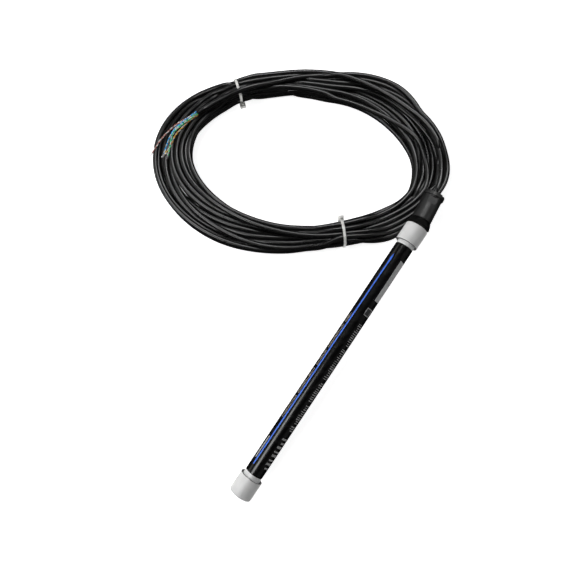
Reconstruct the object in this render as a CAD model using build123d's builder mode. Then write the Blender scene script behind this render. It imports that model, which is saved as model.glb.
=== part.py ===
from build123d import *
import os
from math import cos, pi, radians, sin, tan

# Buried vehicle-sensing probe: a capped PVC tube that holds a magnetic sensing coil and its
# board, a cable gland in the head cap, and a coiled four-pair lead with a stripped end.
#
# Frame: +X along the probe towards the gland, +Z up, origin under the middle of the probe's
# own box. The nose cap lies on the ground and the head lies on the coiled lead, so the
# probe's axis climbs by lift_angle. Stations are distances from the nose along that axis.

# ---------------------------------------------------------------- driving dimensions, mm
lift_angle = 2.8
nose_x = -204.793
probe_length = 412.6

pipe_radius = 10.67
pipe_bore = 7.9
label_film = 0.25
label_start = 28.7
label_end = 340.0

cap_radius = 13.7
cap_length = 23.6
cap_floor = 4.6
cap_rounding = 2.0
cap_bevel = 0.4
cap_entry_width = 1.6
cap_entry_depth = 2.2
head_rim = 344.4
pipe_play = 2.4

# The cap's hole is drilled a little crooked, so the gland leans from the probe's axis to +Y.
gland_lean = 5.5
washer_thickness = 1.7
washer_radius = 11.9
hex_across_flats = 25.2
hex_turn = 7
hex_crown_width = 14.9
hex_crown_start = 1.0
hex_end = 377.6
stud_radius = 9.25
stud_depth = 5.6
stud_end = 400.1
claw_bore = 7.0
claw_count = 6
claw_slit = 1.2
claw_length = 9.0
thread_clearance = 0.05

nut_start = 377.9
nut_radius = 12.0
nut_taper = 0.3
nut_mouth_radius = 5.6
nut_shoulder = 402.8
wrench_start = 397.6
wrench_end = 407.0
wrench_across_flats = 20.9
wrench_flat_width = 11.0
collar_start = 407.8
collar_radius = 12.9
collar_bevel = 0.5
castle_count = 6
castle_turn = 17
castle_notch_width = 3.0
castle_notch_depth = 4.2

grommet_start = 386.0
grommet_end = 401.0
slip_ring_bore = 5.0
slip_ring_radius = 8.8
slip_ring_start = 401.3

cable_radius = 3.1
cable_inner_end = 334.0
cable_tail_bend = 60.0
potting_start = 346.0

board_start = 196.0
board_end = 318.0
board_width = 12.6
board_thickness = 1.6
core_start = 66.0
core_end = 176.0
core_radius = 2.0
former_radius = 3.2
flange_radius = 6.6
flange_thickness = 2.0

bundle_height = 17.0
bundle_rounding = 5.0
outer_centre = (164.3, 168.0)
outer_semi_axes = (183.2, 119.5)
outer_turn = 127.0
inner_centre = (164.1, 164.4)
inner_semi_axes = (136.9, 82.4)
inner_turn = 117.6

tie_width = 3.2
tie_thickness = 1.2
tie_inner_height = 27.5
tie_inner_width = 33.0
tie_head = (6.5, 5.0, 6.8)
tie_head_turn = 5
tie_places = [((192.7, 278.1), 230.2), ((113.2, 68.8), 41.2)]
swell_radius = 12.0
swell_half_length = 42.0

pair_radius = 1.0
tip_radius = 0.28
tip_length = 5.0

# ---------------------------------------------------------------- the probe's tilted frame
cos_lift = cos(radians(lift_angle))
sin_lift = sin(radians(lift_angle))
nose_height = cap_rounding + (cap_radius - cap_rounding) * cos_lift - cap_rounding * sin_lift
nose = Vector(nose_x, 0, nose_height)
along = Vector(cos_lift, 0, sin_lift)
upward = Vector(-sin_lift, 0, cos_lift)
probe_axis = Axis(nose, along)
profile_plane = Plane(origin=nose, x_dir=along, z_dir=(0, -1, 0))

# The gland's own axis starts at the middle of the head cap's flat top. Its stations go on
# from the probe's.
head_top = head_rim + cap_length
gland_foot = nose + along * head_top
sideways = Vector(0, 1, 0)
gland_along = along * cos(radians(gland_lean)) + sideways * sin(radians(gland_lean))
gland_side = sideways * cos(radians(gland_lean)) - along * sin(radians(gland_lean))
gland_axis = Axis(gland_foot, gland_along)
gland_zero = gland_foot - gland_along * head_top
gland_mouth = gland_zero + gland_along * probe_length
gland_profile = Plane(origin=gland_zero, x_dir=gland_along, z_dir=gland_side * -1)


def across(station):
    """A plane square to the probe: local x is +Y and local y points up."""
    return Plane(origin=nose + along * station, x_dir=(0, 1, 0), z_dir=along)


def across_gland(station):
    """A plane square to the gland: local x is its +Y side and local y points up."""
    return Plane(origin=gland_zero + gland_along * station, x_dir=gland_side, z_dir=gland_along)


def board_plane(height):
    """A plane along the probe, a height above its axis: local x is the station."""
    return Plane(origin=nose + upward * height, x_dir=along, z_dir=upward)


def save(piece, label):
    """Names a finished piece and writes its STEP file."""
    piece.label = label
    export_step(piece, f"parts/{label}.step")
    print(f"{label:22s} {len(piece.solids()):3d} solids {piece.volume:12.1f} mm3")
    return piece


def sleeve(label, start, end, outer, inner, plane_at=across):
    """A plain round sleeve between two stations, on the probe's axis or the gland's."""
    with BuildPart() as part:
        with BuildSketch(plane_at(start)):
            Circle(outer)
            Circle(inner, mode=Mode.SUBTRACT)
        extrude(amount=end - start)
    return save(part.part, label)


os.makedirs("parts", exist_ok=True)


# ---------------------------------------------------------------- casing
with BuildPart() as end_cap:
    with BuildSketch(profile_plane) as cap_profile:
        with BuildLine():
            Polyline(
                (0, 0),
                (0, cap_radius),
                (cap_length, cap_radius),
                (cap_length, pipe_radius + cap_entry_width),
                (cap_length - cap_entry_depth, pipe_radius),
                (cap_floor, pipe_radius),
                (cap_floor, 0),
                close=True,
            )
        make_face()
        outer_corners = cap_profile.vertices().group_by(Axis.Y)[-1].sort_by(Axis.X)
        fillet(outer_corners[0], radius=cap_rounding)
        chamfer(outer_corners[-1], length=cap_bevel)
    revolve(axis=probe_axis)
save(end_cap.part, "end_cap")

with BuildPart() as head_cap:
    with BuildSketch(profile_plane) as head_profile:
        with BuildLine():
            Polyline(
                (head_rim + cap_entry_depth, pipe_radius),
                (head_rim, pipe_radius + cap_entry_width),
                (head_rim, cap_radius),
                (head_top, cap_radius),
                (head_top, 0),
                (head_top - cap_floor, 0),
                (head_top - cap_floor, pipe_radius),
                close=True,
            )
        make_face()
        outer_corners = head_profile.vertices().group_by(Axis.Y)[-1].sort_by(Axis.X)
        chamfer(outer_corners[0], length=cap_bevel)
        fillet(outer_corners[-1], radius=cap_rounding / 2)
    revolve(axis=probe_axis)
    with BuildSketch(across_gland(head_top - 2 * cap_floor)):
        Circle(stud_radius)
    extrude(amount=4 * cap_floor, mode=Mode.SUBTRACT)
save(head_cap.part, "head_cap")

pipe_end = head_top - cap_floor - pipe_play
sleeve("body_tube", cap_floor, pipe_end, pipe_radius, pipe_bore)
sleeve("label_sleeve", label_start, label_end, pipe_radius + label_film, pipe_radius)

# The washer is squeezed into a wedge between the cap's top and the leaning hexagon.
with BuildPart() as sealing_washer:
    with BuildSketch(across_gland(head_top - washer_thickness)):
        Circle(washer_radius)
        Circle(stud_radius, mode=Mode.SUBTRACT)
    extrude(amount=2 * washer_thickness)
    with BuildSketch(across(head_top)):
        Circle(2 * cap_radius)
    extrude(amount=-4 * washer_thickness, mode=Mode.SUBTRACT)
save(sealing_washer.part, "sealing_washer")

# ---------------------------------------------------------------- cable gland
hex_start = head_top + washer_thickness
with BuildPart() as gland_body:
    with BuildSketch(across_gland(hex_start)):
        RegularPolygon(radius=hex_across_flats / 2, side_count=6, major_radius=False, rotation=hex_turn)
    extrude(amount=hex_end - hex_start)
    # The corners of the hexagon are turned off by a long cone towards the nut.
    with BuildSketch(gland_profile):
        with BuildLine():
            Polyline(
                (hex_start, 0),
                (hex_start, hex_crown_width),
                (hex_start + hex_crown_start, hex_crown_width),
                (hex_end, nut_radius),
                (hex_end, 0),
                close=True,
            )
        make_face()
    revolve(axis=gland_axis, mode=Mode.INTERSECT)
    with BuildSketch(across_gland(head_top - stud_depth)):
        Circle(stud_radius)
    extrude(amount=stud_end - head_top + stud_depth)
    with BuildSketch(across_gland(head_top - stud_depth)):
        Circle(cable_radius + 1.0)
    extrude(amount=grommet_start - head_top + stud_depth, mode=Mode.SUBTRACT)
    with BuildSketch(across_gland(grommet_start)):
        Circle(claw_bore)
    extrude(amount=stud_end - grommet_start, mode=Mode.SUBTRACT)
    with BuildSketch(across_gland(stud_end - claw_length)):
        with PolarLocations(stud_radius, claw_count):
            Rectangle(2 * (stud_radius - claw_bore) + 1.0, claw_slit)
    extrude(amount=claw_length, mode=Mode.SUBTRACT)
save(gland_body.part, "gland_body")

sleeve("gland_grommet", grommet_start, grommet_end, claw_bore, cable_radius, across_gland)
sleeve("gland_slip_ring", slip_ring_start, nut_shoulder, slip_ring_radius, slip_ring_bore, across_gland)

with BuildPart() as gland_nut:
    with BuildSketch(gland_profile):
        with BuildLine():
            Polyline(
                (nut_start, stud_radius + thread_clearance),
                (nut_start, nut_radius - 0.3),
                (nut_start + 0.3, nut_radius),
                (collar_start, nut_radius - nut_taper),
                (collar_start + 0.4, collar_radius),
                (probe_length - collar_bevel, collar_radius),
                (probe_length, collar_radius - collar_bevel),
                (probe_length, nut_mouth_radius + 0.8),
                (probe_length - 0.8, nut_mouth_radius),
                (nut_shoulder, nut_mouth_radius),
                (nut_shoulder, stud_radius + thread_clearance),
                close=True,
            )
        make_face()
    revolve(axis=gland_axis)
    # Wrench flats sunk into the outer end of the skirt, round at their lower corners.
    for index in range(castle_count):
        turn = 360 / castle_count * index
        outward = across_gland(0).rotated((0, 0, turn)).y_dir
        face_plane = Plane(
            origin=gland_zero + outward * (wrench_across_flats / 2),
            x_dir=gland_along,
            z_dir=outward,
        )
        with BuildSketch(face_plane) as wrench_flat:
            with Locations(((wrench_start + wrench_end) / 2, 0)):
                Rectangle(wrench_end - wrench_start, wrench_flat_width)
            fillet(wrench_flat.vertices().group_by(Axis.X)[0], radius=3.5)
        extrude(amount=4, mode=Mode.SUBTRACT)
    # Castle notches through the collar's rim.
    with BuildSketch(across_gland(probe_length - castle_notch_depth)):
        with PolarLocations(collar_radius, castle_count, start_angle=castle_turn):
            Rectangle(2 * (collar_radius - nut_radius + 1.6), castle_notch_width)
    extrude(amount=castle_notch_depth, mode=Mode.SUBTRACT)
save(gland_nut.part, "gland_nut")

# ---------------------------------------------------------------- inside the tube
with BuildPart() as cable_tail:
    with BuildLine() as tail_line:
        FilletPolyline(nose + along * cable_inner_end, gland_foot, gland_mouth, radius=cable_tail_bend)
    with BuildSketch(across(cable_inner_end)):
        Circle(cable_radius)
    sweep(path=tail_line.wire())
save(cable_tail.part, "cable_tail")

sleeve("potting_plug", potting_start, head_top - stud_depth - 1.4, pipe_bore, cable_radius)

inner_tie_station = cable_inner_end + 4.0
with BuildPart() as inner_cable_tie:
    with BuildSketch(across(inner_tie_station)):
        Circle(cable_radius + 1.0)
        with Locations((0, cable_radius + 2.0)):
            Rectangle(4.0, 3.2)
        Circle(cable_radius, mode=Mode.SUBTRACT)
    extrude(amount=2.5)
save(inner_cable_tie.part, "inner_cable_tie")

with BuildPart() as circuit_board:
    with BuildSketch(board_plane(-board_thickness / 2)):
        with Locations(((board_start + board_end) / 2, 0)):
            Rectangle(board_end - board_start, board_width)
        with Locations((board_start + 3, 0), (board_end - 3, 0)):
            Circle(1.1, mode=Mode.SUBTRACT)
    extrude(amount=board_thickness)
save(circuit_board.part, "circuit_board")


def on_board(label, places, size, height, under=False):
    """Square-edged parts soldered to the board's top or under face, one solid each."""
    face = board_thickness / 2
    with BuildPart() as chips:
        with BuildSketch(board_plane(-face - height if under else face)):
            with Locations(*places):
                Rectangle(*size)
        extrude(amount=height)
    return save(chips.part, label)


on_board("microcontroller", [(256, 0)], (7.0, 7.0), 1.2)
on_board("amplifier_chips", [(214, 0), (226, 0)], (5.0, 4.0), 1.5)
on_board("voltage_regulator", [(286, -2.6)], (6.5, 3.6), 1.6)
on_board("crystal", [(270, 1.5)], (3.2, 5.0), 1.1)
capacitor_places = [(station, side) for station in (206, 238, 246, 278) for side in (-4.4, 4.4)]
on_board("chip_capacitors", capacitor_places, (2.0, 1.25), 1.0)
resistor_places = [(station, side) for station in range(208, 300, 13) for side in (-2.5, 2.5)]
on_board("chip_resistors", resistor_places, (1.6, 0.8), 0.5, under=True)

with BuildPart() as surge_arrestors:
    for station in (296.0, 303.0):
        with BuildSketch(across(station)):
            with Locations((0, board_thickness / 2 + 2.5)):
                Circle(2.5)
        extrude(amount=5.0)
save(surge_arrestors.part, "surge_arrestors")

wire_pitch = 1.35
wire_sides = [(index - 3.5) * wire_pitch for index in range(8)]
pad_station = board_end - 6.0
wire_gap = 0.1
wire_station = pad_station + 1.4 + wire_gap
wire_height = board_thickness / 2 + 0.7
with BuildPart() as solder_joints:
    with BuildSketch(board_plane(board_thickness / 2)):
        with Locations(*[(pad_station, side) for side in wire_sides]):
            Rectangle(2.8, 1.0)
    extrude(amount=1.2)
save(solder_joints.part, "solder_joints")

with BuildPart() as board_wires:
    for side in wire_sides:
        cable_side = side * 0.45
        start = nose + along * wire_station + Vector(0, side, 0) + upward * wire_height
        finish = nose + along * (cable_inner_end - wire_gap) + Vector(0, cable_side, 0)
        with BuildLine() as wire_line:
            Line(start, finish)
        with BuildSketch(Plane(origin=start, z_dir=finish - start)):
            Circle(0.28)
        sweep(path=wire_line.line)
save(board_wires.part, "board_wires")

with BuildPart() as sensor_core:
    with BuildSketch(across(core_start)):
        Circle(core_radius)
    extrude(amount=core_end - core_start)
save(sensor_core.part, "sensor_core")

core_middle = (core_start + core_end) / 2
flange_stations = [core_start + 2, core_middle - flange_thickness / 2, core_end - 4]
with BuildPart() as coil_former:
    with BuildSketch(across(core_start + 2)):
        Circle(former_radius)
    extrude(amount=core_end - core_start - 4)
    for station in flange_stations:
        with BuildSketch(across(station)):
            Circle(flange_radius)
        extrude(amount=flange_thickness)
    with BuildSketch(across(core_start)):
        Circle(core_radius)
    extrude(amount=core_end - core_start, mode=Mode.SUBTRACT)
save(coil_former.part, "coil_former")

sense_start = flange_stations[0] + flange_thickness
drive_start = flange_stations[1] + flange_thickness
sleeve("sense_winding", sense_start, flange_stations[1], former_radius + 2.0, former_radius)
sleeve("drive_winding", drive_start, flange_stations[2], former_radius + 1.4, former_radius)

with BuildPart() as centring_rings:
    for station in flange_stations:
        with BuildSketch(across(station)):
            Circle(pipe_bore)
            Circle(flange_radius, mode=Mode.SUBTRACT)
        extrude(amount=flange_thickness)
save(centring_rings.part, "centring_rings")

with BuildPart() as coil_leads:
    for side in (-4.2, -1.4, 1.4, 4.2):
        start = nose + along * (flange_stations[2] + flange_thickness) + Vector(0, side, 0)
        start = start + upward * 4.4
        finish = nose + along * (board_start + 6) + Vector(0, side, 0)
        finish = finish + upward * (board_thickness / 2 + 0.3)
        with BuildLine() as lead_line:
            Line(start, finish)
        with BuildSketch(Plane(origin=start, z_dir=finish - start)):
            Circle(0.2)
        sweep(path=lead_line.line)
save(coil_leads.part, "coil_leads")

with BuildPart() as nose_cushion:
    with BuildSketch(across(cap_floor + 2)):
        Circle(pipe_bore)
    extrude(amount=12)
save(nose_cushion.part, "nose_cushion")

with BuildPart() as board_cushions:
    for station in (board_start + 12, board_end - 30):
        with BuildSketch(across(station)):
            Circle(pipe_bore)
            Rectangle(2 * pipe_bore, board_thickness + 3.4, mode=Mode.SUBTRACT)
            Rectangle(2 * pipe_bore, 4 * pipe_bore, align=(Align.CENTER, Align.MIN), mode=Mode.SUBTRACT)
        extrude(amount=10)
save(board_cushions.part, "board_cushions")


# ---------------------------------------------------------------- the lead's free stretches
def corner_radii(route):
    """The largest arc that each corner's two runs leave room for."""
    radii = []
    for before, corner, after in zip(route, route[1:], route[2:]):
        shorter = min((corner - before).length, (after - corner).length)
        half_turn = radians((corner - before).get_angle(after - corner)) / 2
        radii.append(0.45 * shorter / tan(half_turn))
    return radii


def lead(label, route, radius):
    """A round lead along straight runs joined by tangent arcs."""
    radii = corner_radii(route)
    with BuildPart() as part:
        with BuildLine():
            path = FilletPolyline(*route, radius=radii)
        with BuildSketch(Plane(origin=route[0], z_dir=route[1] - route[0])):
            Circle(radius)
        sweep(path=path)
    length = path.length
    filled = part.part.volume / (pi * radius**2 * length)
    print(f"{label}: length {length:.1f}, filled {filled:.4f}, radii", [round(r, 1) for r in radii])
    return save(part.part, label)


run_route = [
    gland_mouth,
    gland_mouth + gland_along * 14,
    Vector(241.0, 14.0, 31.5),
    Vector(260.5, 26.0, 26.0),
    Vector(275.6, 42.6, 21.0),
    Vector(287.0, 63.2, 17.2),
    Vector(294.1, 87.1, 15.0),
]
lead("cable_run", run_route, cable_radius)

jacket_end = Vector(137.4, 300.4, 22.0)
end_route = [
    Vector(267.5, 203.0, 11.5),
    Vector(249.5, 224.5, 18.5),
    Vector(224.0, 247.0, 29.5),
    Vector(203.0, 262.5, 36.2),
    Vector(181.0, 277.0, 36.0),
    Vector(158.0, 290.0, 28.5),
    jacket_end,
]
lead("cable_end", end_route, cable_radius)

# Each pair starts on the jacket's end face and lies on the coil, the brown one outermost.
jacket_way = (end_route[-1] - end_route[-2]).normalized()
jacket_side = Vector(-jacket_way.Y, jacket_way.X, 0).normalized()
jacket_face = Plane(origin=jacket_end, x_dir=jacket_side, z_dir=jacket_way)
pair_exits = {
    "pair_brown": (-1.3, -1.3),
    "pair_blue": (-1.3, 1.3),
    "pair_green": (1.3, 1.3),
    "pair_orange": (1.3, -1.3),
}
pair_points = {
    "pair_brown": [(117.5, 313.5, 18.6), (102.5, 318.0, 18.4), (88.0, 319.6, 18.5), (75.0, 318.0, 19.0)],
    "pair_blue": [(116.0, 310.2, 20.2), (101.5, 313.6, 19.0), (87.5, 311.4, 18.4), (75.5, 306.2, 18.4)],
    "pair_green": [(115.5, 307.0, 20.2), (101.0, 309.9, 19.0), (87.5, 307.0, 18.4), (76.5, 301.6, 18.4)],
    "pair_orange": [(115.5, 304.4, 18.4), (101.0, 306.4, 18.4), (88.5, 303.2, 18.4), (78.5, 297.6, 18.4)],
}
tip_planes = []
for label, points in pair_points.items():
    start = jacket_face.from_local_coords(Vector(*pair_exits[label], 0))
    route = [start, start + jacket_way * 9] + [Vector(*point) for point in points]
    lead(label, route, pair_radius)
    tip_planes.append(Plane(origin=route[-1], z_dir=route[-1] - route[-2]))

with BuildPart() as copper_tips:
    for tip_plane in tip_planes:
        with BuildSketch(tip_plane):
            with Locations((0.5, 0), (-0.5, 0)):
                Circle(tip_radius)
        extrude(amount=tip_length)
save(copper_tips.part, "copper_tips")

# ---------------------------------------------------------------- cable ties and the coil
tie_middle = tie_thickness + tie_inner_height / 2
# The ratchet head lies on the inner side of the strap, a little above its middle.
head_reach = (tie_thickness + tie_head[1]) / 2
shoulder = radians(tie_head_turn)
tie_head_place = Location(
    (
        (tie_inner_width / 2 + head_reach) * cos(shoulder),
        (tie_inner_height / 2 + head_reach) * sin(shoulder),
    ),
    tie_head_turn,
)
tie_planes = []
for number, (centre, inward_angle) in enumerate(tie_places, start=1):
    inward = Vector(cos(radians(inward_angle)), sin(radians(inward_angle)), 0)
    tangent = Vector(inward.Y, -inward.X, 0)
    tie_plane = Plane(origin=(*centre, tie_middle), x_dir=inward, z_dir=tangent)
    tie_planes.append(tie_plane)
    head_height, head_depth, head_width = tie_head
    with BuildPart() as cable_tie:
        with BuildSketch(tie_plane):
            Ellipse(tie_inner_width / 2 + tie_thickness, tie_inner_height / 2 + tie_thickness)
            Ellipse(tie_inner_width / 2, tie_inner_height / 2, mode=Mode.SUBTRACT)
        extrude(amount=tie_width / 2, both=True)
        with BuildSketch(tie_plane):
            with Locations(tie_head_place):
                Rectangle(head_depth, head_height)
        extrude(amount=head_width / 2, both=True)
    save(cable_tie.part, f"cable_tie_{number}")

with BuildPart() as cable_coil:
    with BuildSketch():
        with Locations(outer_centre):
            Ellipse(*outer_semi_axes, rotation=outer_turn)
        with Locations(inner_centre):
            Ellipse(*inner_semi_axes, rotation=inner_turn, mode=Mode.SUBTRACT)
    extrude(amount=bundle_height)
    fillet(cable_coil.edges().filter_by(GeomType.LINE, reverse=True), radius=bundle_rounding)
    # Each tie draws the turns together, into a taller and narrower bundle.
    for tie_plane in tie_planes:
        swell_centre = tie_plane.origin + Vector(0, 0, tie_inner_height / 2 - swell_radius)
        swell_plane = Plane(origin=swell_centre, x_dir=tie_plane.z_dir, z_dir=tie_plane.x_dir)
        with BuildSketch(swell_plane):
            with BuildLine():
                ThreePointArc((-swell_half_length, 0), (0, swell_radius), (swell_half_length, 0))
                Line((swell_half_length, 0), (-swell_half_length, 0))
            make_face()
        revolve(axis=Axis(swell_centre, tie_plane.z_dir))
        with BuildSketch(tie_plane):
            Rectangle(2 * tie_inner_width, 2 * tie_inner_height)
            Ellipse(tie_inner_width / 2, tie_inner_height / 2, mode=Mode.SUBTRACT)
        extrude(amount=tie_width / 2, both=True, mode=Mode.SUBTRACT)
        with BuildSketch(tie_plane):
            with Locations(tie_head_place):
                Rectangle(tie_head[1], tie_head[0])
        extrude(amount=tie_head[2] / 2, both=True, mode=Mode.SUBTRACT)
save(cable_coil.part, "cable_coil")
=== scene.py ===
"""Looks for the buried vehicle-sensing probe: its coiled lead, stripped pairs, ties and finishes.

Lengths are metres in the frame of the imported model: +X along the probe, +Z up. A station is a
distance from the nose along the probe's axis, and an angle round the probe is 0 at its top and
positive towards +Y.
"""

import math

import bmesh
import bpy
import numpy as np
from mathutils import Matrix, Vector


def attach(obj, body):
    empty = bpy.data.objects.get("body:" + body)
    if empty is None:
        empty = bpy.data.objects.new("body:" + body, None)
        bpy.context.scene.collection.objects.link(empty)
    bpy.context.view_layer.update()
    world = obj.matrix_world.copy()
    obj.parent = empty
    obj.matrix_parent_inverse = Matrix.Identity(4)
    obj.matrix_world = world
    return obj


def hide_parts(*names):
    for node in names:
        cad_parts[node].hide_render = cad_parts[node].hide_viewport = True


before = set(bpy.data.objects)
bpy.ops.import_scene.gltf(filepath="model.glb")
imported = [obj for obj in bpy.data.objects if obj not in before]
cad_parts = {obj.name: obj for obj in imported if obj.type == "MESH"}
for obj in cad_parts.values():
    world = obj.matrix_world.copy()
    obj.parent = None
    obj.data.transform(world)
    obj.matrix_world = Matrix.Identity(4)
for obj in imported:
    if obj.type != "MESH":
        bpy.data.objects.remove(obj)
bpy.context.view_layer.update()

MM = 0.001
scene = bpy.context.scene


def new_object(name, data):
    """A new object in the scene."""
    item = bpy.data.objects.new(name, data)
    scene.collection.objects.link(item)
    return item


def new_mesh(name, verts, faces, *materials):
    """A new mesh of points and faces, with its materials."""
    mesh = bpy.data.meshes.new(name)
    mesh.from_pydata(verts, [], faces)
    for material in materials:
        mesh.materials.append(material)
    mesh.update()
    return mesh


# ---- camera
VIEW_TARGET = Vector((0.0215, 0.0845, 0.0))
VIEW_DISTANCE = 0.600
VIEW_ELEVATION = math.radians(82.6)
VIEW_HEADING = math.radians(55.96)
VIEW_LENS = 30.54

flat_way = Vector((math.sin(VIEW_HEADING), math.cos(VIEW_HEADING), 0.0)) * math.cos(VIEW_ELEVATION)
view_forward = flat_way - Vector((0.0, 0.0, math.sin(VIEW_ELEVATION)))
camera_data = bpy.data.cameras.new("camera")
camera_data.lens = VIEW_LENS
camera_data.sensor_width = 36.0
camera = new_object("camera", camera_data)
camera.location = VIEW_TARGET - view_forward * VIEW_DISTANCE
camera.rotation_euler = view_forward.to_track_quat("-Z", "Y").to_euler()
scene.camera = camera


# ---- the probe's own axis
LIFT = math.radians(2.8)
NOSE = Vector((-0.204793, 0.0, 0.013588))
ALONG = Vector((math.cos(LIFT), 0.0, math.sin(LIFT)))
ACROSS = Vector((0.0, 1.0, 0.0))
UPWARD = Vector((-math.sin(LIFT), 0.0, math.cos(LIFT)))
PIPE_RADIUS = 10.67 * MM
LABEL_RADIUS = PIPE_RADIUS + 0.25 * MM


def on_probe(station, radius, angle):
    """A point at a station of the probe, a radius from its axis, at an angle from its top."""
    outward = ACROSS * math.sin(angle) + UPWARD * math.cos(angle)
    return NOSE + ALONG * station + outward * radius


# ---- curves and tubes
def route_points(points, resolution):
    """Points read from the smooth NURBS line that has these control points."""
    curve = bpy.data.curves.new("route", "CURVE")
    curve.dimensions = "3D"
    spline = curve.splines.new("NURBS")
    spline.points.add(len(points) - 1)
    for control, point in zip(spline.points, points):
        control.co = (*point, 1.0)
    spline.order_u = 3
    spline.use_endpoint_u = True
    curve.resolution_u = resolution
    holder = new_object("route", curve)
    bpy.context.view_layer.update()
    mesh = bpy.data.meshes.new_from_object(holder)
    found = np.array([v.co for v in mesh.vertices], float)
    bpy.data.objects.remove(holder)
    bpy.data.curves.remove(curve)
    bpy.data.meshes.remove(mesh)
    return found


def travelled(path):
    """Distance along a path at each of its points."""
    steps = np.linalg.norm(np.diff(path, axis=0), axis=1)
    return np.concatenate(([0.0], np.cumsum(steps)))


def section_axes(path):
    """The way a path goes at its points, and two axes across it that don't twist."""
    way = np.gradient(path, axis=0)
    way /= np.linalg.norm(way, axis=1)[:, None]
    side = np.zeros_like(path)
    side[0] = np.cross(way[0], (0.0, 0.0, 1.0))
    side[0] /= np.linalg.norm(side[0])
    for index in range(1, len(path)):
        carried = side[index - 1] - way[index] * np.dot(side[index - 1], way[index])
        side[index] = carried / np.linalg.norm(carried)
    return way, side, np.cross(way, side)


# A tube's two ends are this much of its radius.
END_SHARE = 0.8


def tube_mesh(paths, radius, sides, materials):
    """One mesh of closed tubes along paths, with UVs in metres: along each, and round it."""
    verts, faces, uvs, face_slots = [], [], [], []
    base = 0
    for slot_index, path in enumerate(paths):
        way, side, rise = section_axes(path)
        radii = np.full(len(path), radius)
        radii[[0, -1]] = END_SHARE * radius
        angles = np.linspace(0.0, 2 * math.pi, sides, endpoint=False)
        ring = np.cos(angles)[None, :, None] * side[:, None] + np.sin(angles)[None, :, None] * rise[:, None]
        verts.append((path[:, None] + ring * radii[:, None, None]).reshape(-1, 3))
        reach = travelled(path)
        round_step = 2 * math.pi * radius / sides
        for row in range(len(path) - 1):
            low = base + row * sides
            near, far = reach[row], reach[row + 1]
            for corner in range(sides):
                after = (corner + 1) % sides
                faces.append((low + corner, low + after, low + sides + after, low + sides + corner))
                left, right = corner * round_step, (corner + 1) * round_step
                uvs += [(near, left), (near, right), (far, right), (far, left)]
        faces.append(tuple(range(base + sides - 1, base - 1, -1)))
        last = base + (len(path) - 1) * sides
        faces.append(tuple(range(last, last + sides)))
        uvs += [(0.0, 0.0)] * (2 * sides)
        face_slots += [slot_index] * ((len(path) - 1) * sides + 2)
        base += len(path) * sides
    mesh = new_mesh("tube", np.vstack(verts).tolist(), faces, *materials)
    layer = mesh.uv_layers.new(name="along")
    layer.data.foreach_set("uv", np.array(uvs, np.float32).ravel())
    if len(materials) > 1:
        mesh.polygons.foreach_set("material_index", face_slots)
    mesh.polygons.foreach_set("use_smooth", [len(face) == 4 for face in faces])
    mesh.update()
    return mesh


def add_piece(name, mesh):
    """A new object that rides the probe and takes the finish of a material slot."""
    piece = new_object(name, mesh)
    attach(piece, "probe")
    return piece


# ---- materials
def new_material(name):
    """A new principled material and its shader."""
    material = bpy.data.materials.new(name)
    material.use_nodes = True
    return material, material.node_tree.nodes["Principled BSDF"]


def grow(material, kind, inputs=None, **settings):
    """Adds a node with its settings and inputs. An input may be a value or a socket."""
    node = material.node_tree.nodes.new(kind)
    for key, value in settings.items():
        setattr(node, key, value)
    for key, value in (inputs or {}).items():
        if isinstance(value, bpy.types.NodeSocket):
            material.node_tree.links.new(value, node.inputs[key])
        else:
            node.inputs[key].default_value = value
    return node


def calculate(material, operation, *values):
    """A maths node's result."""
    return grow(material, "ShaderNodeMath", dict(enumerate(values)), operation=operation).outputs[0]


def beat_of(material, reach, pitch):
    """How far a distance is through its period of a pitch, from 0 to 1."""
    return calculate(material, "FRACT", calculate(material, "DIVIDE", reach, pitch))


def noise(material, vector, scale, detail=3.0, stretch=None):
    """A noise value about 0.5, with its vector stretched by three factors if they are given."""
    if stretch is not None:
        mapping = grow(material, "ShaderNodeMapping", {"Vector": vector, "Scale": stretch})
        vector = mapping.outputs["Vector"]
    inputs = {"Vector": vector, "Scale": scale, "Detail": detail}
    return grow(material, "ShaderNodeTexNoise", inputs).outputs["Fac"]


def product(material, value, *factors):
    """A value multiplied by others."""
    for factor in factors:
        value = calculate(material, "MULTIPLY", value, factor)
    return value


def spread(material, value, out_low, out_high, low=0.3, high=0.7):
    """A value mapped from one range, by default a noise's, to another."""
    inputs = {"Value": value, "From Min": low, "From Max": high, "To Min": out_low, "To Max": out_high}
    return grow(material, "ShaderNodeMapRange", inputs).outputs["Result"]


def blended(material, factor, first, second):
    """Two colours mixed by a factor."""
    inputs = {0: factor, 6: first, 7: second}
    return grow(material, "ShaderNodeMix", inputs, data_type="RGBA").outputs[2]


def connect(material, socket, shader, name):
    """Links a socket to an input of a shader."""
    material.node_tree.links.new(socket, shader.inputs[name])


def add_relief(material, shader, height, depth):
    """Gives a shader a fine relief from a height, depth metres deep."""
    relief = grow(material, "ShaderNodeBump", {"Height": height, "Distance": depth, "Strength": 1.0})
    connect(material, relief.outputs["Normal"], shader, "Normal")


def object_place(material):
    """Where a point is on its own piece, in metres."""
    return grow(material, "ShaderNodeTexCoord").outputs["Object"]


def even(level):
    """A neutral colour of three equal values."""
    return (level, level, level)


def grey(level):
    """A neutral colour with full alpha."""
    return (level, level, level, 1.0)


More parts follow.
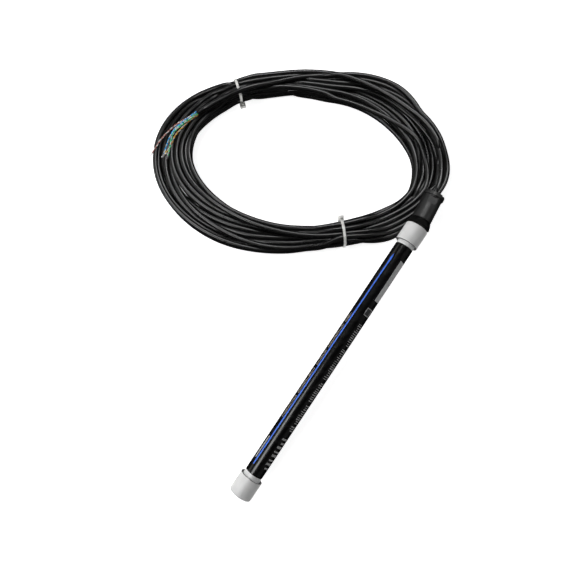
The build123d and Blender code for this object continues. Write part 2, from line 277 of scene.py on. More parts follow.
def finish(name, dark, light, rough, sizes, metallic=0.0, specular=0.5):
    """A plain finish: two close colours in patches, uneven roughness and a fine grain.

    dark and light are colours, and rough the lowest and highest roughness. sizes are those of
    the patches and the grain, and the grain's depth, in metres.
    """
    patch, grain, depth = sizes
    material, shader = new_material(name)
    place = object_place(material)
    cloud = noise(material, place, 1.0 / patch, 4.0)
    cloud = spread(material, cloud, 0.0, 1.0)
    connect(material, blended(material, cloud, (*dark, 1.0), (*light, 1.0)), shader, "Base Color")
    wear = noise(material, place, 2.3 / patch, 5.0)
    connect(material, spread(material, wear, *rough), shader, "Roughness")
    add_relief(material, shader, noise(material, place, 1.0 / grain, 2.0), depth)
    shader.inputs["Metallic"].default_value = metallic
    shader.inputs["Specular IOR Level"].default_value = specular
    return material


# The cable's row of ticks: where it starts again, the share of a period that has ticks, the
# pitch of the ticks, and where round the cable the row lies.
PRINT_PERIOD = 0.6096
PRINT_SHARE = 0.30
TICK_PITCH = 2.4 * MM
TICK_ROW_PLACE = 4.9 * MM
TICK_ROW_HALF = 0.45 * MM
TICK_STRENGTH = 0.35


def jacket_material():
    """Satin black PVC with a faint row of plain ticks where such a cable carries its print."""
    material, shader = new_material("cable_jacket")
    uv = grow(material, "ShaderNodeUVMap", uv_map="along").outputs["UV"]
    parts = grow(material, "ShaderNodeSeparateXYZ", {"Vector": uv})
    reach, round_way = parts.outputs["X"], parts.outputs["Y"]
    printed = calculate(material, "LESS_THAN", beat_of(material, reach, PRINT_PERIOD), PRINT_SHARE)
    stroke = calculate(material, "LESS_THAN", beat_of(material, reach, TICK_PITCH), 0.5)
    words = noise(material, uv, 260.0, 1.0, (1.0, 0.0, 0.0))
    worded = calculate(material, "GREATER_THAN", words, 0.45)
    off_row = calculate(material, "ABSOLUTE", calculate(material, "SUBTRACT", round_way, TICK_ROW_PLACE))
    on_row = calculate(material, "LESS_THAN", off_row, TICK_ROW_HALF)
    tick = product(material, stroke, worded, on_row, printed, TICK_STRENGTH)
    place = object_place(material)
    cloud = noise(material, place, 55.0, 3.0)
    rubber = blended(material, cloud, grey(0.0035), grey(0.007))
    connect(material, blended(material, tick, rubber, grey(0.10)), shader, "Base Color")
    scuff = noise(material, uv, 1.0, 3.0, (40.0, 120.0, 1.0))
    connect(material, spread(material, scuff, 0.26, 0.33), shader, "Roughness")
    fine = noise(material, place, 2200.0, 2.0)
    ripple = noise(material, uv, 1.0, 2.0, (60.0, 60.0, 1.0))
    height = calculate(material, "ADD", product(material, fine, 0.3), ripple)
    add_relief(material, shader, height, 0.012 * MM)
    return material


def label_material():
    """Glossy black laminate over the pipe, with faint slanted mottling and a slight ripple."""
    material, shader = new_material("label_film")
    place = object_place(material)
    turned = grow(material, "ShaderNodeMapping", {"Vector": place, "Rotation": (0.0, 0.0, 0.6)})
    streak = noise(material, turned.outputs["Vector"], 1.0, 4.0, (60.0, 240.0, 240.0))
    streak = spread(material, streak, 0.0, 1.0, 0.45, 0.75)
    connect(material, blended(material, streak, grey(0.0025), grey(0.011)), shader, "Base Color")
    smudge = noise(material, place, 70.0, 4.0)
    connect(material, spread(material, smudge, 0.18, 0.25, 0.35, 0.7), shader, "Roughness")
    shader.inputs["Specular IOR Level"].default_value = 0.36
    add_relief(material, shader, noise(material, place, 1.0, 2.0, (25.0, 90.0, 90.0)), 0.10 * MM)
    return material


BAND_PITCH = 7.0 * MM
BAND_SHARE = 0.3


def banded_wire(name, colour):
    """White insulation with rings of the pair's colour along it."""
    material, shader = new_material(name)
    uv = grow(material, "ShaderNodeUVMap", uv_map="along").outputs["UV"]
    reach = grow(material, "ShaderNodeSeparateXYZ", {"Vector": uv}).outputs["X"]
    band = calculate(material, "LESS_THAN", beat_of(material, reach, BAND_PITCH), BAND_SHARE)
    wobble = noise(material, uv, 900.0, 2.0)
    white = blended(material, wobble, (0.84, 0.84, 0.80, 1.0), (0.92, 0.92, 0.88, 1.0))
    connect(material, blended(material, band, white, (*colour, 1.0)), shader, "Base Color")
    connect(material, spread(material, wobble, 0.28, 0.42), shader, "Roughness")
    add_relief(material, shader, wobble, 0.03 * MM)
    return material


PAIR_COLOURS = {
    "brown": (0.58, 0.20, 0.15),
    "blue": (0.03, 0.45, 1.00),
    "green": (0.03, 0.70, 0.30),
    "orange": (1.00, 0.52, 0.05),
}

# Two colours, the lowest and highest roughness, and the sizes of patches, grain and its depth.
PLAIN_FINISHES = {
    "cap_white": ((0.72, 0.72, 0.715), (0.78, 0.78, 0.775), (0.34, 0.46), (0.009, 0.0006, 0.02 * MM)),
    "pipe_white": ((0.76, 0.76, 0.755), (0.82, 0.82, 0.815), (0.30, 0.40), (0.012, 0.0008, 0.01 * MM)),
    "gland_nylon": (even(0.002), even(0.004), (0.40, 0.52), (0.006, 0.0005, 0.03 * MM)),
    "nut_nylon": (even(0.006), even(0.010), (0.40, 0.50), (0.005, 0.0004, 0.03 * MM)),
    "seal_rubber": (even(0.006), even(0.012), (0.62, 0.78), (0.004, 0.0005, 0.05 * MM)),
    "tie_nylon": ((0.78, 0.78, 0.75), (0.86, 0.86, 0.83), (0.30, 0.42), (0.004, 0.0005, 0.03 * MM)),
    "tinned_copper": (even(0.48), even(0.66), (0.24, 0.36), (0.0015, 0.0002, 0.01 * MM)),
    "board_green": ((0.008, 0.07, 0.03), (0.012, 0.11, 0.045), (0.30, 0.42), (0.006, 0.001, 0.02 * MM)),
    "chip_black": (even(0.012), even(0.02), (0.45, 0.6), (0.002, 0.0003, 0.02 * MM)),
    "part_tan": ((0.42, 0.30, 0.17), (0.52, 0.38, 0.22), (0.4, 0.55), (0.002, 0.0003, 0.02 * MM)),
    "can_metal": (even(0.55), even(0.65), (0.22, 0.34), (0.003, 0.0004, 0.01 * MM)),
    "solder": (even(0.5), even(0.62), (0.26, 0.4), (0.001, 0.0004, 0.03 * MM)),
    "ferrite": (even(0.025), even(0.05), (0.5, 0.68), (0.004, 0.0005, 0.05 * MM)),
    "former_nylon": ((0.62, 0.56, 0.42), (0.72, 0.66, 0.52), (0.4, 0.5), (0.006, 0.0006, 0.03 * MM)),
    "copper_wire": ((0.55, 0.16, 0.05), (0.72, 0.26, 0.10), (0.25, 0.38), (0.002, 0.0003, 0.08 * MM)),
    "potting": (even(0.01), even(0.02), (0.25, 0.4), (0.005, 0.001, 0.05 * MM)),
    "foam": (even(0.05), even(0.09), (0.8, 0.95), (0.002, 0.0007, 0.25 * MM)),
    "print_blue": ((0.030, 0.150, 0.80), (0.045, 0.195, 0.93), (0.20, 0.32), (0.006, 0.0008, 0.01 * MM)),
    "print_grey": (even(0.50), even(0.57), (0.30, 0.42), (0.008, 0.0008, 0.01 * MM)),
    "print_dim": (even(0.035), even(0.05), (0.28, 0.40), (0.003, 0.0008, 0.01 * MM)),
    "print_tan": ((0.27, 0.24, 0.19), (0.36, 0.31, 0.25), (0.28, 0.40), (0.003, 0.0008, 0.01 * MM)),
    "print_pale": (even(0.30), even(0.42), (0.28, 0.40), (0.003, 0.0008, 0.01 * MM)),
    # Painted shade: a darker grey standing in for the shade in the gap at each cap's mouth.
    "mouth_painted_shade": (even(0.10), even(0.14), (0.45, 0.60), (0.004, 0.0005, 0.02 * MM)),
}
METALS = ("tinned_copper", "can_metal", "solder", "copper_wire")
UNUSUAL_SHEEN = {"gland_nylon": 0.10, "nut_nylon": 0.55}

finishes = {"cable_jacket": jacket_material(), "label_film": label_material()}
for finish_name, look in PLAIN_FINISHES.items():
    sheen = UNUSUAL_SHEEN.get(finish_name, 0.5)
    finishes[finish_name] = finish(finish_name, *look, metallic=float(finish_name in METALS), specular=sheen)

FINISHED_NODES = {
    "cap_white": ("end_cap", "head_cap"),
    "pipe_white": ("body_tube",),
    "label_film": ("label_sleeve",),
    "seal_rubber": ("sealing_washer", "gland_grommet"),
    "gland_nylon": ("gland_body", "gland_slip_ring"),
    "nut_nylon": ("gland_nut",),
    "cable_jacket": ("cable_tail",),
    "potting": ("potting_plug",),
    "tie_nylon": ("inner_cable_tie",),
    "board_green": ("circuit_board",),
    "chip_black": ("microcontroller", "amplifier_chips", "voltage_regulator", "chip_resistors"),
    "can_metal": ("crystal", "surge_arrestors"),
    "part_tan": ("chip_capacitors",),
    "solder": ("solder_joints",),
    "copper_wire": ("board_wires", "sense_winding", "drive_winding", "coil_leads"),
    "ferrite": ("sensor_core",),
    "former_nylon": ("coil_former",),
    "foam": ("centring_rings", "nose_cushion", "board_cushions"),
}
for finish_name, node_names in FINISHED_NODES.items():
    for node_name in node_names:
        node_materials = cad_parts[node_name].data.materials
        node_materials.clear()
        node_materials.append(finishes[finish_name])


CAP_RADIUS = 13.7 * MM
CAP_SKIN = 0.1 * MM
MOUTH_DEPTH = 2.4 * MM
MOUTH_STATIONS = {"end_cap": 23.6 * MM, "head_cap": 344.4 * MM}


def paint_mouth_shade(node_name, mouth_station):
    """Paints the ring between a cap's mouth and the tube a darker grey: painted shade for the shaded gap
    there.
    """
    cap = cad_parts[node_name]
    cap.data.materials.append(finishes["mouth_painted_shade"])
    for face in cap.data.polygons:
        place = cap.matrix_world @ face.center - NOSE
        station = place.dot(ALONG)
        radius = (place - ALONG * station).length
        # Faces inside the cap's skin near its mouth take the painted shade.
        if abs(station - mouth_station) < MOUTH_DEPTH and radius < CAP_RADIUS - CAP_SKIN:
            face.material_index = 1


# Each cap's mouth ring gets the painted shade.
for node_name, mouth_station in MOUTH_STATIONS.items():
    paint_mouth_shade(node_name, mouth_station)


# ---- the coiled lead, in millimetres
LEAD_RADIUS = 3.1
# Each oval of the coil is its centre, its half lengths and its lean in degrees.
OUTER_OVAL = ((164.3, 168.0), (183.2, 119.5), 127.0)
INNER_OVAL = ((164.1, 164.4), (136.9, 82.4), 117.6)
MIDDLE_OVAL = ((164.2, 166.2), (160.0, 101.0), 122.5)
# A turn has this many stations. The run and the last stretch are held between theirs. The bundle
# stays low under the probe and under the pairs, and the turn before last may ride high for a bit.
TURN_STATIONS = 72
FULL_TURNS = 18
RUN_STATIONS = (30, 43)
END_STATIONS = (50, 67)
PROBE_STATIONS = slice(27, 37)
PAIR_STATIONS = (66, 1)
FREE_TOP_STATIONS = slice(38, 58)
# The ties' places, the bundle's room inside them, and how it spreads and rises near them.
TIE_PLACES = ((192.2, 277.5), (113.2, 68.8))
TIE_INNER_WIDTH = 33.0
TIE_INNER_HEIGHT = 27.5
TIE_THICKNESS = 1.2
TIE_CENTRE = TIE_THICKNESS + TIE_INNER_HEIGHT / 2
TIE_EASE = 0.3
TIE_SPREAD = 150
TIE_RISE = 10.5
TIE_RISE_REACH = 40
BUNDLE_CEILING = 14.0
OPEN_CEILING = 40.0
# The turns wander across the bundle in waves this many turns long.
WANDER_WAVES = (3.1, 1.73, 1.12)
COIL_SEED = 17
# The rounds of settling, and the rounds at which one of its rules starts or ends.
ROUNDS = 900
FALL_ENDS = 600
SLOW_FALL_ENDS = 760
SORTING_ENDS = 700
FILLING_ENDS = 860
LID_DOWN = 560
TIES_START = 400
# What each rule does in a round: falls in millimetres, the others as shares of what's missing.
FALL = 0.25
SLOW_FALL = 0.06
LID_FALL = 0.25
SORTING_SHARE = 0.012
FILLING_SHARE = 0.2
PUSH_SHARE = 0.22
TIE_SHARE = 0.5
SMOOTHING_OUT = 0.35
SMOOTHING_HIGH = 0.2

RUN_ROUTE = [
    (207.11, 4.27, 33.73),
    (221.03, 5.61, 34.41),
    (241.0, 14.0, 31.5),
    (260.5, 26.0, 26.0),
    (275.6, 42.6, 21.0),
    (287.0, 63.2, 17.2),
    (294.1, 87.1, 15.0),
]
# The last stretch goes over the first tie and lies lower on the turns than the plain tube does.
END_ROUTE = [
    (267.5, 203.0, 15.0),
    (249.5, 224.5, 18.0),
    (222.0, 244.5, 24.5),
    (200.5, 259.5, 33.4),
    (178.8, 275.0, 33.2),
    (158.0, 290.0, 26.5),
    (137.4, 300.4, 22.0),
]
# How far the bundle's two sides stand out from the ovals: the station, then millimetres.
OUTER_SWELL = [
    (0, -2.6), (5, -1.6), (7, 0.7), (10, 5.0), (11, 5.8), (12, 4.9), (15, 3.4), (17, 1.0), (19, -1.6),
    (21, 0.2), (23, 3.6), (24, 9.0), (25, 10.1), (26, 13.3), (27, 13.3), (31, 10.1), (33, 7.7), (34, 13.8),
    (35, 10.0), (36, 3.8), (37, -0.5), (39, -3.8), (40, -6.0), (41, -7.1), (43, 3.6), (44, 7.4), (45, 10.2),
    (46, 10.8), (48, 3.6), (49, -2.0), (50, -6.6), (53, -6.0), (55, -6.8), (58, -8.8), (61, -8.8),
    (62, -7.8), (63, -7.6), (64, -4.8), (65, -0.8), (66, 2.2), (68, 5.3), (69, 5.6), (71, -1.3),
]
INNER_SWELL = [
    (0, -3.0), (2, -4.1), (4, -4.6), (6, -0.6), (8, 2.2), (10, 4.2), (13, 4.4), (16, 3.1), (20, 4.5),
    (22, -1.2), (23, -2.1), (24, -1.3), (26, -1.3), (28, -0.5), (30, 3.4), (32, 5.5), (34, 3.4), (36, -0.0),
    (39, -2.1), (40, -3.9), (41, -4.8), (43, -1.6), (44, -0.8), (47, -0.2), (50, 1.6), (51, 0.2), (53, 1.8),
    (56, 2.8), (59, 1.9), (60, 1.2), (61, 2.2), (64, 0.1), (65, -0.2), (66, -1.1), (68, -1.1), (70, -2.9),
    (72, -3.0),
]
# How far out from the middle oval two upper strands lie: the station, then millimetres.
LAST_TURN_WEAVE = [(34, 14.0), (38, 8.0), (42, 3.0), (44, 3.3), (47, 6.0), (50, 9.4)]
INNER_STRAND_WEAVE = [
    (29, 0.0), (31, 2.9), (33, 4.2), (34, 1.8), (36, -5.3), (39, -10.6), (42, -18.3), (45, -21.5),
    (50, -21.6),
]


def oval_point(oval, turn):
    """Points of an oval at parameters of its own."""
    (x, y), (long_half, short_half), lean = oval
    c, s = math.cos(math.radians(lean)), math.sin(math.radians(lean))
    u, v = long_half * np.cos(turn), short_half * np.sin(turn)
    return np.stack([x + u * c - v * s, y + u * s + v * c], -1)


def oval_reach(oval, base, outward):
    """Distance outward from base points to an oval's near side, negative where it is inside."""
    (x, y), (long_half, short_half), lean = oval
    c, s = math.cos(math.radians(lean)), math.sin(math.radians(lean))
    turned = np.array([[c / long_half, -s / short_half], [s / long_half, c / short_half]])
    q, n = (base - (x, y)) @ turned, outward @ turned
    a, b, rest = (n * n).sum(1), (q * n).sum(1), (q * q).sum(1) - 1
    return (-b + np.sqrt(np.maximum(b * b - a * rest, 0))) / a


def turn_stations():
    """Evenly spaced points of the middle oval, their directions and outward normals."""
    fine = np.linspace(0, 2 * math.pi, 4001)
    reach = travelled(oval_point(MIDDLE_OVAL, fine))
    turns = np.interp(np.arange(TURN_STATIONS) / TURN_STATIONS * reach[-1], reach, fine)
    base = oval_point(MIDDLE_OVAL, turns)
    way = oval_point(MIDDLE_OVAL, turns + 1e-4) - oval_point(MIDDLE_OVAL, turns - 1e-4)
    way /= np.linalg.norm(way, axis=1)[:, None]
    return base, way, np.stack([way[:, 1], -way[:, 0]], -1), reach[-1] / TURN_STATIONS


NEAR_OVAL = 45


def crossings(path, base, way, outward):
    """Where a path goes through the planes of the stations: station -> (out, height)."""
    found = {}
    for station in range(TURN_STATIONS):
        ahead = (path[:, :2] - base[station]) @ way[station]
        out = (path[:, :2] - base[station]) @ outward[station]
        steps = np.nonzero((ahead[:-1] <= 0) & (ahead[1:] > 0) & (np.abs(out[1:]) < NEAR_OVAL))[0]
        if len(steps):
            step = steps[0]
            share = -ahead[step] / (ahead[step + 1] - ahead[step])
            found[station] = (
                out[step] + share * (out[step + 1] - out[step]),
                path[step, 2] + share * (path[step + 1, 2] - path[step, 2]),
            )
    return found


class Bundle:
    """The coil while it settles, with a row for each turn and a column for each station.

    out is how far outside the middle oval the lead passes a station, and high how far above
    the ground. used marks the places that the lead has, and order runs along them.
    """

    def __init__(self):
        self.base, self.way, self.outward, self.step = turn_stations()
        self.set_limits()
        self.lay_turns()
        self.hold_by_hand()

    def set_limits(self):
        """Finds how far in, out and up the turns may lie at each station, and the ties' places."""
        stations = np.arange(TURN_STATIONS)
        outer, inner = (oval_reach(oval, self.base, self.outward) for oval in (OUTER_OVAL, INNER_OVAL))
        self.most_out = outer - LEAD_RADIUS + np.interp(stations, *np.array(OUTER_SWELL).T)
        self.least_out = inner + LEAD_RADIUS + np.interp(stations, *np.array(INNER_SWELL).T)
        self.ceiling = np.full(TURN_STATIONS, BUNDLE_CEILING + 1.0)
        self.ties = []
        for tie in np.array(TIE_PLACES):
            station = int(np.argmin(np.hypot(*(self.base - tie).T)))
            middle = float((tie - self.base[station]) @ self.outward[station])
            past = float((tie - self.base[station]) @ self.way[station])
            away = np.abs((stations - station + TURN_STATIONS / 2) % TURN_STATIONS - TURN_STATIONS / 2)
            away = away * self.step
            half = TIE_INNER_WIDTH / 2 - LEAD_RADIUS - TIE_EASE + away**2 / TIE_SPREAD
            self.most_out = np.minimum(self.most_out, middle + half)
            self.least_out = np.maximum(self.least_out, middle - half)
            self.ceiling += TIE_RISE * np.exp(-((away / TIE_RISE_REACH) ** 2))
            self.ties.append((station, middle, past))
        self.ceiling[PROBE_STATIONS] = BUNDLE_CEILING - 0.2
        by_pairs = (stations >= PAIR_STATIONS[0]) | (stations <= PAIR_STATIONS[1])
        self.ceiling[by_pairs] = np.minimum(self.ceiling[by_pairs], BUNDLE_CEILING + 0.5)

    def lay_turns(self):
        """Lays the turns on each other, each with a place across the bundle that it makes for."""
        run = crossings(route_points(RUN_ROUTE, 12), self.base, self.way, self.outward)
        end = crossings(route_points(END_ROUTE, 12), self.base, self.way, self.outward)
        self.run = {k: place for k, place in run.items() if RUN_STATIONS[0] <= k <= RUN_STATIONS[1]}
        self.end = {k: place for k, place in end.items() if END_STATIONS[0] <= k <= END_STATIONS[1]}
        self.order = np.arange(min(self.run), FULL_TURNS * TURN_STATIONS + max(self.end) + 1)
        self.row, self.column = self.order // TURN_STATIONS, self.order % TURN_STATIONS
        self.used = np.zeros((self.row.max() + 1, TURN_STATIONS), bool)
        self.used[self.row, self.column] = True
        rows = len(self.used)
        self.apart = self.used[:, None] & self.used[None] & ~np.eye(rows, dtype=bool)[:, :, None]

        random = np.random.default_rng(COIL_SEED)
        travel = self.order / TURN_STATIONS
        wander = np.full(self.used.shape, np.inf)
        wander[self.row, self.column] = sum(
            random.uniform(0.7, 1.0) * np.sin(2 * math.pi * (travel / wave + random.uniform()))
            for wave in WANDER_WAVES
        )
        rank = wander.argsort(0).argsort(0) / np.maximum(self.used.sum(0) - 1, 1)
        self.goal = np.where(self.used, self.least_out + (self.most_out - self.least_out) * rank, 0)
        self.out = self.goal.copy()
        self.high = np.zeros_like(self.out)
        self.high[self.row, self.column] = LEAD_RADIUS + self.row * 2.02 * LEAD_RADIUS

    def hold_by_hand(self):
        """Notes the places that are held, and those where only the way out is set."""
        self.held = np.zeros_like(self.used)
        self.woven = np.zeros_like(self.used)
        self.held_out, self.held_high = self.out.copy(), self.high.copy()
        for turn, places in ((0, self.run), (-1, self.end)):
            for k, (out, high) in places.items():
                self.held[turn, k], self.held_out[turn, k], self.held_high[turn, k] = True, out, high
        for turn, weave in ((-1, LAST_TURN_WEAVE), (-2, INNER_STRAND_WEAVE)):
            ks = np.arange(weave[0][0], weave[-1][0] + 1)
            self.woven[turn, ks] = True
            self.held_out[turn, ks] = np.interp(ks, *np.array(weave).T)
        free_top = np.zeros_like(self.used)
        free_top[-1, :] = True
        free_top[-1, PROBE_STATIONS] = False
        free_top[-2, FREE_TOP_STATIONS] = True
        self.top = np.where(free_top, OPEN_CEILING, self.ceiling[None])
        self.put_held()

    def put_held(self):
        """Puts the held places back."""
        self.out = np.where(self.held | self.woven, self.held_out, self.out)
        self.high = np.where(self.held, self.held_high, self.high)

    def smoothed(self, field, share):
        """A field drawn towards the mean of its neighbours along the lead."""
        line = field[self.row, self.column]
        eased = line.copy()
        eased[1:-1] = 0.5 * (line[:-2] + line[2:])
        result = field.copy()
        result[self.row, self.column] = line + share * (eased - line)
        return result

    def fill_width(self):
        """Spreads the turns so that they fill the room between the two sides."""
        inmost = np.where(self.used, self.out, 99).min(0)
        outmost = np.where(self.used, self.out, -99).max(0)
        room = self.most_out - self.least_out
        filled = self.least_out + (self.out - inmost) * room / (outmost - inmost)
        self.out = np.where(self.used, self.out + FILLING_SHARE * (filled - self.out), self.out)

    def push_apart(self):
        """Moves strands that overlap away from each other."""
        gap_out = self.out[:, None, :] - self.out[None, :, :]
        gap_high = self.high[:, None, :] - self.high[None, :, :]
        gap = np.sqrt(gap_out**2 + gap_high**2) + 1e-6
        overlap = np.where(self.apart & (gap < 2 * LEAD_RADIUS), 2 * LEAD_RADIUS - gap, 0)
        push = PUSH_SHARE * overlap / gap
        self.out = self.out + (push * gap_out).sum(1)
        self.high = self.high + (push * gap_high).sum(1)

    def draw_in(self):
        """Draws the strands at each tie into the oval inside its strap."""
        for station, middle, _ in self.ties:
            near = slice(station - 1, station + 2)
            wide = (self.out[:, near] - middle) / (TIE_INNER_WIDTH / 2 - LEAD_RADIUS)
            tall = (self.high[:, near] - TIE_CENTRE) / (TIE_INNER_HEIGHT / 2 - LEAD_RADIUS)
            beyond = np.maximum(np.hypot(wide, tall), 1.0)
            pull = 1 - TIE_SHARE * (1 - 1 / beyond)
            self.out[:, near] = middle + (self.out[:, near] - middle) * pull
            self.high[:, near] = TIE_CENTRE + (self.high[:, near] - TIE_CENTRE) * pull

    def settle(self):
        """Lets the turns fall, push each other aside and settle between the two ovals."""
        for count in range(ROUNDS):
            fall = FALL if count < FALL_ENDS else (SLOW_FALL if count < SLOW_FALL_ENDS else 0.0)
            self.high = np.where(self.used, self.high - fall, self.high)
            if count < SORTING_ENDS:
                self.out = self.out + SORTING_SHARE * (self.goal - self.out)
            for _ in range(2 if count < FILLING_ENDS else 1):
                self.out = self.smoothed(self.out, SMOOTHING_OUT)
                self.high = self.smoothed(self.high, SMOOTHING_HIGH)
            if count < FILLING_ENDS:
                self.fill_width()
            lid = self.top + max(0.0, (LID_DOWN - count) * LID_FALL)
            for _ in range(3):
                self.push_apart()
                if count > TIES_START:
                    self.draw_in()
                self.high = np.minimum(np.maximum(self.high, LEAD_RADIUS), lid)
                self.out = np.clip(self.out, self.least_out[None], self.most_out[None])
                self.put_held()

    def free_points(self):
        """The lead's points between the run and the last stretch."""
        last = FULL_TURNS * TURN_STATIONS + min(self.end)
        free = (self.order > RUN_STATIONS[1]) & (self.order < last)
        row, k = self.row[free], self.column[free]
        flat = self.base[k] + self.outward[k] * self.out[row, k][:, None]
        return np.column_stack([flat, self.high[row, k]])

    def tie_sections(self):
        """For each tie, the places of the strands in it, and its place and axes on the ground."""
        sections = []
        for number, (station, _, past) in enumerate(self.ties):
            inside = self.used[:, station].copy()
            if number == 0:
                # The last stretch lies over the first tie, not in it.
                inside[-1] = False
            beside = station + int(math.copysign(1, past))
            share = abs(past) / self.step
            places = np.stack([self.out, self.high], -1)
            strands = places[inside, station] * (1 - share) + places[inside, beside] * share
            way, outward = self.way[station], self.outward[station]
            sections.append((strands, (self.base[station] + way * past, way, outward)))
        return sections


bundle = Bundle()
bundle.settle()
lead_control = np.vstack([RUN_ROUTE, bundle.free_points(), END_ROUTE]) * MM
lead_path = route_points(lead_control, 3)
lead_mesh = tube_mesh([lead_path], LEAD_RADIUS * MM, 12, [finishes["cable_jacket"]])
lead = add_piece("lead", lead_mesh)
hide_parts("cable_run", "cable_coil", "cable_end")


# ---- the four stripped pairs
PAIR_PITCH = 11.0 * MM
WIRE_RADIUS = 0.50 * MM
TIP_RADIUS = 0.28 * MM
TIP_LENGTH = 5.0 * MM
# Where each pair leaves the jacket: aside and up from its middle, in millimetres.
PAIR_EXITS = {"brown": (-1.3, -1.3), "blue": (-1.3, 1.3), "green": (1.3, 1.3), "orange": (1.3, -1.3)}
PAIR_STRAIGHT = 9
PAIR_ROUTES = {
    "brown": [
        (117.2, 313.1, 18.8), (105.0, 316.8, 18.3), (93.0, 319.0, 18.3), (80.5, 319.4, 18.6),
        (65.5, 317.6, 19.0),
    ],
    "blue": [
        (115.6, 310.4, 20.4), (106.0, 312.9, 19.2), (97.0, 312.7, 18.4), (87.0, 310.7, 18.2),
        (72.6, 305.3, 18.2),
    ],
    "green": [
        (112.5, 308.9, 21.0), (101.0, 311.4, 20.4), (91.4, 308.2, 19.4), (82.4, 303.4, 19.0),
        (73.4, 300.2, 18.6),
    ],
    "orange": [
        (112.4, 306.6, 18.8), (101.5, 308.3, 18.4), (91.7, 306.6, 18.2), (82.8, 303.1, 18.0),
        (71.6, 304.4, 19.0),
    ],
}
PAIR_TURNS = {"brown": 0.4, "blue": 1.9, "green": 2.6, "orange": 0.9}


def twisted(path, offset, start_angle, pitch):
    """A path that winds round another at an offset."""
    way, side, rise = section_axes(path)
    angle = start_angle + travelled(path) / pitch * 2 * math.pi
    return path + offset * (np.cos(angle)[:, None] * side + np.sin(angle)[:, None] * rise)


def pair_path(colour):
    """A pair's middle line, from inside the jacket's cut end."""
    jacket_end = Vector(END_ROUTE[-1])
    jacket_way = (jacket_end - Vector(END_ROUTE[-2])).normalized()
    jacket_side = Vector((-jacket_way.y, jacket_way.x, 0.0)).normalized()
    jacket_rise = jacket_way.cross(jacket_side)
    side, rise = PAIR_EXITS[colour]
    start = jacket_end + jacket_side * side + jacket_rise * rise
    route = [start, start + jacket_way * PAIR_STRAIGHT] + [Vector(point) for point in PAIR_ROUTES[colour]]
    return route_points(np.array(route) * MM, 16)


def bared_end(path, wire):
    """The line of a wire's bared end, which splays away from the pair's middle line."""
    way = (path[-1] - path[-2]) / np.linalg.norm(path[-1] - path[-2])
    reach = np.linspace(-0.3 * MM, TIP_LENGTH, 9)[:, None]
    splay = (wire[-1] - path[-1]) * np.linspace(0.0, 0.6, 9)[:, None] ** 2
    return wire[-1] + way * reach + splay


def stripped_pair(colour, tint):
    """Two insulated wires wound round each other, with bared ends."""
    path = pair_path(colour)
    dark = tuple(0.9 * c for c in tint)
    solid = finish(f"wire_{colour}", dark, tint, (0.26, 0.38), (0.003, 0.0004, 0.02 * MM))
    banded = banded_wire(f"wire_{colour}_white", tint)
    wires = [
        twisted(path, WIRE_RADIUS, PAIR_TURNS[colour] + half_turn, PAIR_PITCH) for half_turn in (0.0, math.pi)
    ]
    mesh = tube_mesh(wires, WIRE_RADIUS, 12, [solid, banded])
    pair = add_piece(f"pair_{colour}_wires", mesh)
    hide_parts(f"pair_{colour}")
    bared = [bared_end(path, wire) for wire in wires]
    tip_mesh = tube_mesh(bared, TIP_RADIUS, 10, [finishes["tinned_copper"]])
    tips = add_piece(f"tips_{colour}", tip_mesh)
    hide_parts("copper_tips")
    round(float(travelled(path)[-1]), 3)


for pair_colour, pair_tint in PAIR_COLOURS.items():
    stripped_pair(pair_colour, pair_tint)


# ---- cable ties
TIE_WIDTH = 3.2
STRAP_GAP = 0.10
STRAP_THICKNESS = 1.05
STRAP_EDGE = 0.35
TIE_HEAD = (6.5, 5.8, 7.0)
# For each tie: its head's turn round the bundle, how much the tie runs ahead along the coil for
# each millimetre outwards, and how far it is shifted along the coil.
TIE_HEAD_TURNS = (math.radians(-9), math.radians(0))
TIE_LEANS = (0.0, -0.09)
TIE_SHIFTS = (0.0, -0.4)


def turns_left(start, middle, end):
    """Whether the way from start through middle to end turns left."""
    return (middle[0] - start[0]) * (end[1] - start[1]) > (middle[1] - start[1]) * (end[0] - start[0])


def hull(points):
    """The convex hull of flat points, anticlockwise."""
    found = sorted(map(tuple, points))
    edges = []
    for line in (found, found[::-1]):
        side = []
        for point in line:
            while len(side) > 1 and not turns_left(side[-2], side[-1], point):
                side.pop()
            side.append(point)
        edges += side[:-1]
    return np.array(edges)


def round_hull(points, radius, corners=9):
    """The outline that runs a radius outside a hull, with round corners."""
    ring = hull(points)
    outline = []
    for before, corner, after in zip(np.roll(ring, 1, 0), ring, np.roll(ring, -1, 0)):
        start = math.atan2(-(corner - before)[0], (corner - before)[1])
        turn = (math.atan2(-(after - corner)[0], (after - corner)[1]) - start) % (2 * math.pi)
        for angle in start + turn * np.linspace(0.0, 1.0, corners):
            outline.append(corner + radius * np.array((math.cos(angle), math.sin(angle))))
    return np.array(outline)


def block_verts(centre, half, bevel):
    """The 24 corners of a box with cut edges, about a centre."""
    verts = []
    for axis in range(3):
        for signs in range(8):
            corner = [half[a] * (1 if signs >> a & 1 else -1) for a in range(3)]
            for other in range(3):
                if other != axis:
                    corner[other] -= math.copysign(bevel, corner[other])
            verts.append([c + d for c, d in zip(centre, corner)])
    return verts


def closed_hull_mesh(mesh_parts):
    """One mesh of several convex lumps, each the hull of its points, with flat faces."""
    whole = bmesh.new()
    for points in mesh_parts:
        lump = bmesh.new()
        for point in points:
            lump.verts.new(point)
        bmesh.ops.convex_hull(lump, input=lump.verts)
        part = bpy.data.meshes.new("lump")
        lump.to_mesh(part)
        lump.free()
        whole.from_mesh(part)
        bpy.data.meshes.remove(part)
    mesh = bpy.data.meshes.new("lumps")
    bmesh.ops.dissolve_limit(whole, angle_limit=0.01, verts=whole.verts, edges=whole.edges)
    whole.to_mesh(mesh)
    whole.free()
    return mesh


